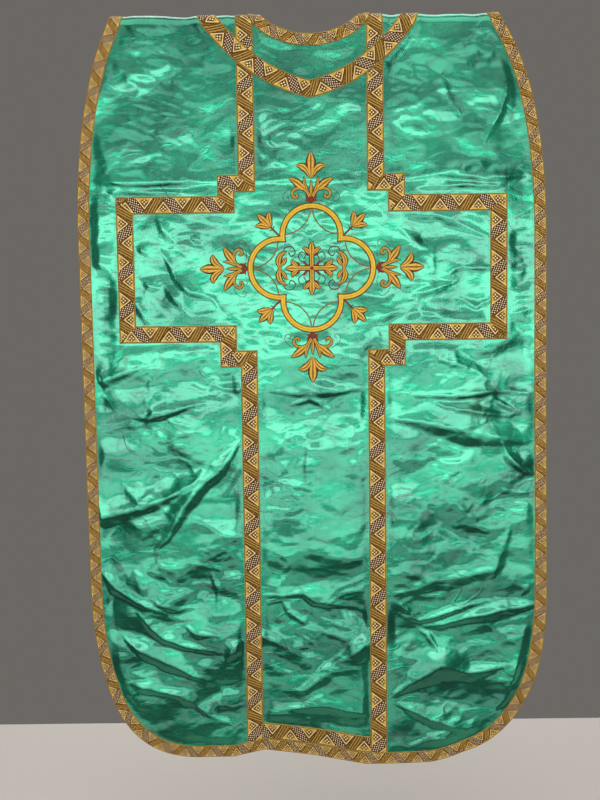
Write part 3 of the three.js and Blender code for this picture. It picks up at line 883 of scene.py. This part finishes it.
def galloon_material(name, half_width, wear):
    """The woven braid: a maroon lattice bar and a gold twill bar that lean opposite ways, in each
    triangle between them a pale chevron round a floret of four dots, and corded edges."""
    s = Shader(name)
    u, v = s.uv()
    scale = half_width / (WIDE / 2)
    part = s.math("FRACT", u / (PATTERN * scale))
    wide_v = v / scale

    def from_place(share):
        """How far along the braid from a place in the repeat, in wide-braid millimetres."""
        return (s.math("FRACT", part - share + 0.5) - 0.5) * PATTERN

    ground = s.mix(s.step(0.35, 0.65, s.noise(u, v, 0.16, 4.0, 0.6)), GROUND_DARK, GROUND_LIGHT)
    rib = s.sine(u, 2 * math.pi / RIB)
    ground = s.mix(s.step(0.2, 0.9, rib) * 0.35, ground, RIB_BROWN)
    height = rib * 0.15
    for place, side in TRIANGLES:
        ground, raised = braid_triangle(s, abs(from_place(place)), wide_v * side, ground)
        height = height + raised * 0.5

    from_twill = from_place(TWILL_PLACE) - wide_v * TWILL_SLANT
    twill_bar, lines = s.below(TWILL_HALF, abs(from_twill)), s.sine(from_twill, 1.55)
    colour = s.mix(twill_bar, ground, s.mix(s.step(-0.5, 0.6, lines), TWILL_DARK, TWILL_GOLD))
    from_lattice = from_place(0.0) - wide_v * LATTICE_SLANT
    lattice_bar = s.below(LATTICE_HALF, abs(from_lattice))
    checks = s.sine(from_lattice, 1.3) * s.sine(from_place(0.0) * LATTICE_SLANT + wide_v, 1.1)
    colour = s.mix(lattice_bar, colour, s.mix(s.step(0.3, 0.6, checks), MAROON, CREAM))
    height = height + checks * lattice_bar * 0.35 + lines * twill_bar * 0.3

    edge = (half_width - abs(v)) / scale
    twist = s.sine(u + v * 1.2, 2 * math.pi / TWIST)
    # Painted shadow: a dark band just inside each corded edge, where the raised cord would shade the braid.
    colour = s.mix(s.below(2.2, edge), colour, CORD_PAINTED_SHADOW)
    colour = s.mix(s.below(1.5, edge), colour, s.mix(s.step(-0.6, 0.5, twist), CORD_DARK, CORD_GOLD))
    return s.finish(
        Base_Color=braid_wear(s, u, v, colour, wear), Roughness=0.5, Metallic=0.3,
        Specular_IOR_Level=0.08, Normal=s.bump(height, 0.0004, 0.7), Sheen_Weight=0.01,
    )


# A stroke's UV runs from minus this to this across it.
STITCH_UNIT = 10.0


def stitched_material(name, dark, light, rim, vein=0.0, lengthways=False):
    """Satin stitch: threads across the stroke or along it, a darker outline and an uneven dye."""
    s = Shader(name)
    u, v = s.uv()
    across = abs(v)
    thread = s.sine(v, 2.2) if lengthways else s.sine(u + across * 0.22, 2 * math.pi / 0.85)
    base = s.mix(s.step(0.35, 0.65, s.noise(u, v, 0.3, 3.0)), dark, light)
    base = s.mix(s.step(0.1, 0.9, thread) * 0.3, base, shaded(dark, 0.5))
    if vein:
        base = s.mix((1 - s.step(1.0, 2.4, across)) * vein, base, rim)
    base = s.mix(s.step(6.2, 7.6, across), base, rim)
    return s.finish(
        Base_Color=base, Roughness=0.42, Metallic=0.1, Specular_IOR_Level=0.22,
        Normal=s.bump(thread, 0.0003, 0.8), Sheen_Weight=0.02,
    )


def matt_material(name, colour, roughness):
    return Shader(name).finish(Base_Color=colour, Roughness=roughness)


satin = satin_material()
wide_braid = galloon_material("wide_galloon", WIDE / 2, 0.22)
narrow_braid = galloon_material("edge_galloon", NARROW / 2, 0.48)
lining_cloth = plain_cloth("gold_lining", (0.40, 0.235, 0.065), (0.52, 0.32, 0.10), 0.9, 0.3)
canvas_cloth = plain_cloth("canvas", (0.30, 0.24, 0.16), (0.42, 0.35, 0.24), 1.4, 0.1)
# Each thread's place in the list of the embroidery's materials.
gold, calyx, tendril, ring_gold, lace, outline_thread = range(6)
threads = [
    stitched_material("gold_thread", (0.95, 0.44, 0.03), (1.0, 0.72, 0.15), (0.16, 0.035, 0.008), 0.85),
    stitched_material("red_thread", (0.26, 0.035, 0.02), (0.42, 0.08, 0.03), (0.07, 0.01, 0.006)),
    stitched_material("mauve_thread", (0.14, 0.09, 0.075), (0.24, 0.16, 0.13), (0.10, 0.07, 0.06)),
    stitched_material("yellow_thread", (0.92, 0.50, 0.02), (1.0, 0.72, 0.09), (0.30, 0.11, 0.01), 0.3, True),
    stitched_material("lace_thread", (0.34, 0.22, 0.05), (0.48, 0.33, 0.08), (0.20, 0.12, 0.03)),
    stitched_material("outline_thread", (0.05, 0.010, 0.006), (0.09, 0.02, 0.01), (0.04, 0.008, 0.005)),
]


# ---- galloons and embroidery


def band_height(half_width):
    """The braid's cross-section: two corded edges and two slightly raised bars in each repeat."""
    scale = half_width / (WIDE / 2)

    def from_place(u, share):
        return (np.mod(u / (PATTERN * scale) - share + 0.5, 1) - 0.5) * PATTERN

    def height(u, v, half):
        inset = half - np.abs(v)
        rounded = np.sqrt(np.clip(1 - (1 - np.clip(inset, 0, 1)) ** 2, 0, 1))
        cord = 0.35 * np.exp(-(((inset - 1.3) / 0.8) ** 2))
        lattice = from_place(u, 0.0) - v / scale * LATTICE_SLANT
        twill = from_place(u, TWILL_PLACE) - v / scale * TWILL_SLANT
        bars = np.exp(-((lattice / LATTICE_HALF) ** 6)) + np.exp(-((twill / TWILL_HALF) ** 6))
        return GALLOON_THICKNESS * rounded + cord + 0.2 * bars * smooth(2.0, 3.0, inset)

    return height


def over_columns(x, run):
    """The height of a galloon that crosses the columns' galloons."""
    lift = smooth(COLUMN_HALF - WIDE - 5, COLUMN_HALF - WIDE, np.abs(x))
    return GALLOON_BASE + CROSSING_RISE * lift * smooth(COLUMN_HALF + 5, COLUMN_HALF, np.abs(x))


def on_satin(x, run):
    return np.full(len(x), GALLOON_BASE)


# The points across a galloon are close together at its rounded edges and cords.
EDGE_SHARES = [-1, -0.97, -0.92, -0.86, -0.8]
BAND_SHARES = np.array([*EDGE_SHARES, *np.linspace(-0.7, 0.7, 15), *[-share for share in EDGE_SHARES[::-1]]])
BAND_STEP = 1.6


def band(line, width, base, ends_at_zero):
    """A length of galloon along a line of the flat pattern."""
    part = Sewing()
    part.add(ribbon(
        line, width / 2, BAND_SHARES, BAND_STEP, base, band_height(width / 2), drape,
        ends_at_zero=ends_at_zero,
    ))
    return part


def through(points, steps=10):
    """A smooth line through points."""
    p = np.array(points, float)
    if len(p) == 2:
        return np.linspace(p[0], p[1], steps)
    ends = np.vstack([2 * p[0] - p[1], p, 2 * p[-1] - p[-2]])
    line = []
    for i in range(1, len(ends) - 2):
        a, b, c, d = ends[i - 1 : i + 3]
        for t in np.linspace(0, 1, steps, endpoint=i == len(ends) - 3):
            line.append(0.5 * (2 * b + (c - a) * t + (2 * a - 5 * b + 4 * c - d) * t**2
                               + (3 * b - a - 3 * c + d) * t**3))
    return np.array(line)


def leaf(width, peak=0.5):
    """The half width of a petal that is widest at peak and pointed at its far end."""

    def half(share):
        rising = np.clip(share / peak, 0, 1) ** 0.6
        falling = 1 - np.clip((share - peak) / (1 - peak), 0, 1) ** 1.7
        return 0.35 + width / 2 * rising * falling

    return half


STROKE_SHARES = np.array([-1, -0.9, -0.72, -0.45, -0.15, 0.15, 0.45, 0.72, 0.9, 1])
STROKE_STEP = 0.9
# How far the dark thread under a petal or the ring shows on each side of it.
OUTLINE = 0.75


def stitch_height(top):
    """A stroke is domed across, with fine ridges of thread."""

    def height(u, v, half):
        dome = np.sqrt(np.clip(1 - (v / half) ** 2, 0, 1))
        return (top * np.minimum(1, half / 3) + 0.12) * dome + 0.1 * np.sin(u * 2 * math.pi / 1.7) * dome

    return height


def at_motif(u, v, turn=0.0):
    """A place beside the middle of the embroidery, u to the right and v up before the turn."""
    u, v = u * math.cos(turn) - v * math.sin(turn), u * math.sin(turn) + v * math.cos(turn)
    return np.column_stack([u, MOTIF + v + FOLD_RADIUS - HALF_FOLD])


def stitches_base(x, run):
    return np.full(len(x), STITCH_BASE)


def stroke(part, points, half_width, slot, turn=0.0, top=1.1, closed=False):
    """A line of satin stitch. Petals and the ring lie on a wider, lower line of dark thread."""
    line = points if closed else through(points)
    layers = [(half_width, top, slot)]
    if slot in (gold, ring_gold):
        is_leaf = callable(half_width)
        wider = (lambda share: half_width(share) + OUTLINE) if is_leaf else half_width + OUTLINE
        layers.append((wider, 0.35 * top, outline_thread))
    for half, rise, thread in layers:
        part.add(ribbon(
            at_motif(*line.T, turn), half, STROKE_SHARES, STROKE_STEP, stitches_base, stitch_height(rise),
            satin_relief, unit=STITCH_UNIT, closed=closed,
        ), thread)


def flipped(across, points, up=1):
    """Points mirrored in one or both middle lines, by signs."""
    return [(across * u, up * v) for u, v in points]


LILY_FOOT = 97
LILY_SCROLL = [(2, 106), (8, 115), (17, 118), (25, 116), (28.5, 110), (25, 104.5), (20.5, 106), (22, 110)]


def lily(part, turn, reach):
    """A three-petalled lily on a pair of lobed leaves, with curled tendrils beside it."""

    def at(side, *points):
        return [(side * u, LILY_FOOT + (v - LILY_FOOT) * reach) for u, v in points]

    for side in (-1, 1):
        for points, half_width, slot, top in [
            ([(29, 119), (37, 114), (42, 107), (40, 100), (35, 99), (33, 103), (37, 105)], 0.6, tendril, 0.7),
            ([(12, 100), (20, 97), (27, 99)], 0.5, tendril, 0.6),
            ([(4, 109), (9, 121), (11, 135)], leaf(6, 0.35), gold, 1.1),
            (LILY_SCROLL, lambda share: 2.9 - 1.3 * share, gold, 1.1),
            ([(6, 113), (12, 119), (22, 127), (33, 134)], leaf(11.5, 0.5), gold, 1.3),
            ([(1.2, 134), (7, 145), (14, 150.5), (22, 151)], leaf(10.5, 0.62), gold, 1.3),
            ([(1, 97), (4, 101), (8, 109)], leaf(4.6, 0.4), calyx, 1.1),
            ([(1, 99), (6, 100.5), (9, 99)], leaf(2.4, 0.5), calyx, 1.1),
        ]:
            stroke(part, at(side, *points), half_width, slot, turn, top)
    stroke(part, at(1, (0, 107), (0, 130)), leaf(5, 0.4), gold, turn)
    stroke(part, [(0, LILY_FOOT - 1), *at(1, (0, 109))], leaf(6, 0.35), calyx, turn)
    stroke(part, at(1, (0, 133), (0, 153), (0, 172)), leaf(14, 0.6), gold, turn, 1.5)


def tulip(part, turn):
    """A three-petalled bud on a short stalk."""
    stroke(part, [(0, 65), (0, 88)], 1.5, calyx, turn)
    stroke(part, [(-5, 83.5), (0, 82), (5, 83.5)], 0.9, calyx, turn)
    for side in (-1, 1):
        petal = flipped(side, [(1.5, 86), (5, 93), (9, 99), (15, 103.5)])
        stroke(part, petal, leaf(9.5, 0.55), gold, turn, 1.3)
        stroke(part, flipped(side, [(0.8, 87), (3.5, 95), (4, 102)]), leaf(3, 0.5), calyx, turn)
    stroke(part, [(0, 86), (0, 99), (0, 114)], leaf(10.5, 0.55), gold, turn, 1.5)


# The ring's lobes, the circles whose arcs are laced through it, and the lobes that the arcs end at.
LOBE_PLACE, LOBE_RADIUS = 48.5, 43.5
LACE_PLACES, LACE_RADIUS = (42, 91), 40.8
LACE_LOBE_RADIUS = 41.5


def quatrefoil(radius):
    """Four round lobes as one closed line."""
    meeting = (LOBE_PLACE + math.sqrt(2 * radius**2 - LOBE_PLACE**2)) / 2
    sweep = math.atan2(meeting, meeting - LOBE_PLACE)
    line = []
    for i in range(4):
        facing = i * math.pi / 2
        for angle in np.linspace(facing - sweep, facing + sweep, 40, endpoint=False):
            line.append((LOBE_PLACE * math.cos(facing) + radius * math.cos(angle),
                         LOBE_PLACE * math.sin(facing) + radius * math.sin(angle)))
    return np.array(line)


def quatrefoil_ring():
    """The ring, and the thin arcs that cross between its lobes."""
    part = Sewing()
    stroke(part, quatrefoil(LOBE_RADIUS), 4.3, ring_gold, top=1.5, closed=True)
    inner = quatrefoil(LACE_LOBE_RADIUS)
    angle = np.linspace(0, 2 * math.pi, 181)
    for across, up in [LACE_PLACES, LACE_PLACES[::-1]]:
        circle = np.column_stack([across + LACE_RADIUS * np.cos(angle), up + LACE_RADIUS * np.sin(angle)])
        arc = circle[inside(*circle.T, inner)]
        picked = np.linspace(0, len(arc) - 1, 14).astype(int)
        for flip in [(1, 1), (1, -1), (-1, 1), (-1, -1)]:
            stroke(part, (arc * flip)[picked], 1.1, lace, top=0.8)
    return part


def centre_cross():
    """A plain cross with budded ends, between two pairs of scrolls."""
    part = Sewing()
    for i in range(4):
        turn = i * math.pi / 2
        stroke(part, [(0, 0), (0, 24)], 3.7, gold, turn, 1.5)
        stroke(part, [(0, 20), (0, 29), (0, 40)], leaf(10.5, 0.45), gold, turn, 1.5)
        for side in (-1, 1):
            bud = flipped(side, [(1, 19), (5, 24), (10, 29), (14, 28)])
            stroke(part, bud, leaf(7, 0.5), gold, turn, 1.3)
            stroke(part, flipped(side, [(2, 19), (6, 19.5), (9, 22)]), leaf(2.6, 0.5), calyx, turn)
    for across, up in [(-1, -1), (-1, 1), (1, -1), (1, 1)]:
        for points, half_width, slot, top in [
            ([(47, -2), (50, 10), (46, 20), (37, 25)], leaf(8.5, 0.4), gold, 1.1),
            ([(47, 3), (42, 9), (38, 17)], leaf(6, 0.5), gold, 1.1),
            ([(44, 20), (39, 31), (29, 31), (25, 23), (31, 18), (35, 24)], 1.0, tendril, 0.8),
            ([(4, 4), (12, 8), (20, 16), (16, 24), (9, 20), (12, 14)], 0.95, tendril, 0.8),
            ([(3, 3), (8, 5), (13, 12)], leaf(3.4, 0.5), calyx, 1.1),
        ]:
            stroke(part, flipped(across, points, up), half_width, slot, top=top)
    stroke(part, [(-4, 0), (0, 0), (4, 0)], leaf(8.5, 0.5), calyx, top=1.8)
    return part


# ---- the pieces

# How far each layer stays inside the outline.
SATIN_INSET = 0.8
LINING_INSET = 1.6
CANVAS_INSET = 6.5
# Satin pieces stop this far short of the middle of the galloon over their seam, and a column's
# galloon this far short of the edge's.
SEAM_GAP = 0.3
TURN_IN = 4.5
# How far apart each layer's points are.
SATIN_STEPS = {BACK: 3.2, FRONT: 4.5}
CANVAS_STEP = 5.5
LINING_STEP = 6
hem_edge, neck_edge = moved(outline, -SATIN_INSET), moved(neck, SATIN_INSET)


def turned_in(x, run):
    """The satin's underside, which is turned in over the canvas along its outer edges."""
    to_edge, to_neck = [np.abs(near_line(x, run, looped_open(loop))[0]) for loop in (outline, neck)]
    return np.where(np.minimum(to_edge, to_neck) < TURN_IN, LINING[1] + 0.1, SATIN[0])


def satin_cross_loops():
    side = column_side(WIDE / 2 + SEAM_GAP, SATIN_INSET)
    return [np.vstack([side, mirrored(side)[::-1]]), neck_edge]


def satin_field_loops(hand):
    side = column_side(WIDE / 2 - SEAM_GAP, SATIN_INSET)
    edge = hem_edge[hem_edge[:, 0] > side[0, 0] + 1]
    loop = np.vstack([side, edge[::-1]])
    return [loop if hand > 0 else mirrored(loop)[::-1]]


def piece(name, part, materials, slot, side, node):
    """One visual piece, in place of one CAD node. The back's pieces hang on the back's body; the front's stay
    where they are made.
    """
    obj = part.make(name, materials)
    if side == BACK:
        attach(obj, "back")
    else:
        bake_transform(obj)
    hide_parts(node)
    return obj


def cloth_piece(name, loops, layer, step, material, slot, side, node):
    """One sheet of cloth on one panel, which hangs against the piece below."""
    part = Sewing()
    part.add(sheet_of_cloth(loops, layer, step, side))
    obj = piece(name, part, [material], slot, side, node)


def galloons(side, word):
    """One panel's galloons. The back's pattern ends on top of the rail just where the front's starts."""
    column = column_side(WIDE / 2, NARROW + SEAM_GAP)
    foot = foot_line(BACK_LENGTH if side == BACK else FRONT_LENGTH, side)
    for kind, line, width, base in [
        ("column_galloon_right", half_line(column, side), WIDE, on_satin),
        ("column_galloon_left", half_line(mirrored(column), side), WIDE, on_satin),
        ("collar_galloon", half_line(looped_open(collar), side), WIDE, over_columns),
        ("neck_galloon", half_line(looped_open(moved(neck, NARROW / 2)), side), NARROW, over_columns),
        ("edge_galloon", half_line(looped_open(moved(outline, -NARROW / 2)), side), NARROW, on_satin),
        ("foot_galloon", foot, WIDE, on_satin),
    ]:
        node = f"{word}_{kind}"
        part = band(line, width, base, ends_at_zero=side == BACK and line is not foot)
        braid, slot = (wide_braid, "wide_galloon") if width == WIDE else (narrow_braid, "edge_galloon")
        piece(node + "_woven", part, [braid], slot, side, node)


def satins(side, word):
    """One panel's satin: the cross or the plain column, and the fields beside it."""
    for node, loops in [
        ("cross_panel" if side == BACK else "front_column_panel", satin_cross_loops()),
        (f"{word}_field_left", satin_field_loops(-1)),
        (f"{word}_field_right", satin_field_loops(1)),
    ]:
        cloth_piece(node + "_satin", loops, (turned_in, SATIN[1]), SATIN_STEPS[side], satin, "satin", side,
                    node)


def backing(side, word):
    """One panel's canvas and lining."""
    canvas, lining = f"{word}_canvas_layer", f"{word}_lining_cloth"
    loops = [moved(outline, -CANVAS_INSET), moved(neck, CANVAS_INSET)]
    cloth_piece(canvas, loops, CANVAS, CANVAS_STEP, canvas_cloth, "canvas", side,
                f"{word}_interlining")
    loops = [moved(outline, -LINING_INSET), moved(neck, LINING_INSET)]
    cloth_piece(lining, loops, LINING, LINING_STEP, lining_cloth, "lining", side,
                f"{word}_lining")


def embroidery():
    """The ring, the cross in it, the four lilies and the four buds."""

    def one(part, node):
        piece(node + "_stitches", part, threads, "embroidery", BACK, node)

    one(quatrefoil_ring(), "quatrefoil_ring")
    one(centre_cross(), "centre_cross")
    for i, way in enumerate(["top", "left", "bottom", "right"]):
        part = Sewing()
        lily(part, i * math.pi / 2, 0.95 if i % 2 else 1.0)
        one(part, f"fleur_{way}")
    for i, way in enumerate(["top_left", "bottom_left", "bottom_right", "top_right"]):
        part = Sewing()
        tulip(part, (i + 0.5) * math.pi / 2)
        one(part, f"bud_{way}")


# ---- floor, lights and camera

# Lengths are in metres from here on. The floor ends in front of the garment, because the satin's
# lower folds would reflect it there.
FLOOR_HEIGHT, FLOOR_HALF = -1.353, 2.2
FLOOR_FRONT, FLOOR_BACK = -0.4, 0.72
FLOOR_COLOUR = (0.50, 0.462, 0.425)
WORLD_COLOUR = (0.15, 0.14, 0.13)

CAMERA_PLACE = (-0.020, -1.673, -0.426)
CAMERA_DOWN, CAMERA_ROLL = 4.9, 0.65
SENSOR_WIDTH, LENS = 36, 49.5

# Each light's place, what it points at, its size and its power. The satin is almost a mirror, so
# the strips one above another show in it as bands, with the dark gaps between them.
LIGHTS = {
    "softbox": ((0, -2.1, -0.40), (0, 0, -0.44), (2.0, 0.5), 14),
    "bounce": ((0, -2.5, -1.82), (0, 0, -1.0), (2.2, 0.38), 3.5),
    "low": ((0, -2.1, -1.04), (0, 0, -0.9), (2.0, 0.42), 7),
    "upper": ((0, -2.1, 0.14), (0, 0, -0.3), (2.0, 0.24), 3.2),
    "top": ((0, -2.1, 0.54), (0, 0, -0.3), (2.0, 0.2), 1.5),
    "overhead": ((-0.5, -2.0, 2.4), (0, 0, -0.5), (4.0, 3.2), 75),
    "side": ((1.9, -0.8, -0.3), (0, 0, -0.5), (0.9, 1.4), 12),
    "far_side": ((-1.9, -0.6, -0.2), (0, 0, -0.5), (0.9, 1.4), 8),
    "behind": ((0, 2.1, -0.35), (0, 0, -0.45), (2.0, 0.62), 14),
    "upper_behind": ((0, 2.1, 0.14), (0, 0, -0.3), (2.0, 0.24), 2.9),
    "low_behind": ((0, 2.1, -1.04), (0, 0, -0.9), (2.0, 0.42), 7),
    "bounce_behind": ((0, 2.5, -1.82), (0, 0, -1.0), (2.2, 0.38), 2.8),
    "overhead_behind": ((0.5, 1.3, 2.9), (0, 0, -0.5), (4.0, 2.4), 62),
}


def stage():
    """The plain floor, and the dim grey that surrounds the room."""
    mesh = bpy.data.meshes.new("floor")
    corners = [(-1, FLOOR_FRONT), (1, FLOOR_FRONT), (1, FLOOR_BACK), (-1, FLOOR_BACK)]
    mesh.from_pydata([(side * FLOOR_HALF, y, FLOOR_HEIGHT) for side, y in corners], [], [[0, 1, 2, 3]])
    mesh.materials.append(matt_material("pale_floor", FLOOR_COLOUR, 0.8))
    floor = bpy.data.objects.new("floor", mesh)
    bpy.context.scene.collection.objects.link(floor)

    world = bpy.data.worlds.new("studio")
    world.use_nodes = True
    world.node_tree.nodes["Background"].inputs[0].default_value = (*WORLD_COLOUR, 1)
    bpy.context.scene.world = world
    bpy.context.scene.view_settings.view_transform = "Standard"


def light(name, place, target, size, power):
    """A rectangular area light."""
    data = bpy.data.lights.new(name, "AREA")
    data.shape = "RECTANGLE"
    data.size, data.size_y = size
    data.energy = power
    obj = bpy.data.objects.new(name, data)
    obj.location = place
    obj.rotation_euler = (Vector(target) - Vector(place)).to_track_quat("-Z", "Y").to_euler()
    bpy.context.scene.collection.objects.link(obj)


def camera():
    """The camera in front of the back panel, looking slightly down."""
    data = bpy.data.cameras.new("camera")
    data.sensor_width = SENSOR_WIDTH
    data.lens = LENS
    obj = bpy.data.objects.new("camera", data)
    down = Matrix.Rotation(math.radians(90 - CAMERA_DOWN), 4, "X")
    roll = Matrix.Rotation(math.radians(-CAMERA_ROLL), 4, "Z")
    obj.matrix_world = Matrix.Translation(CAMERA_PLACE) @ down @ roll
    bpy.context.scene.collection.objects.link(obj)
    bpy.context.scene.camera = obj


camera()
stage()
for name, settings in LIGHTS.items():
    light(name, *settings)
for side, word in [(BACK, "back"), (FRONT, "front")]:
    galloons(side, word)
    satins(side, word)
    backing(side, word)
embroidery()
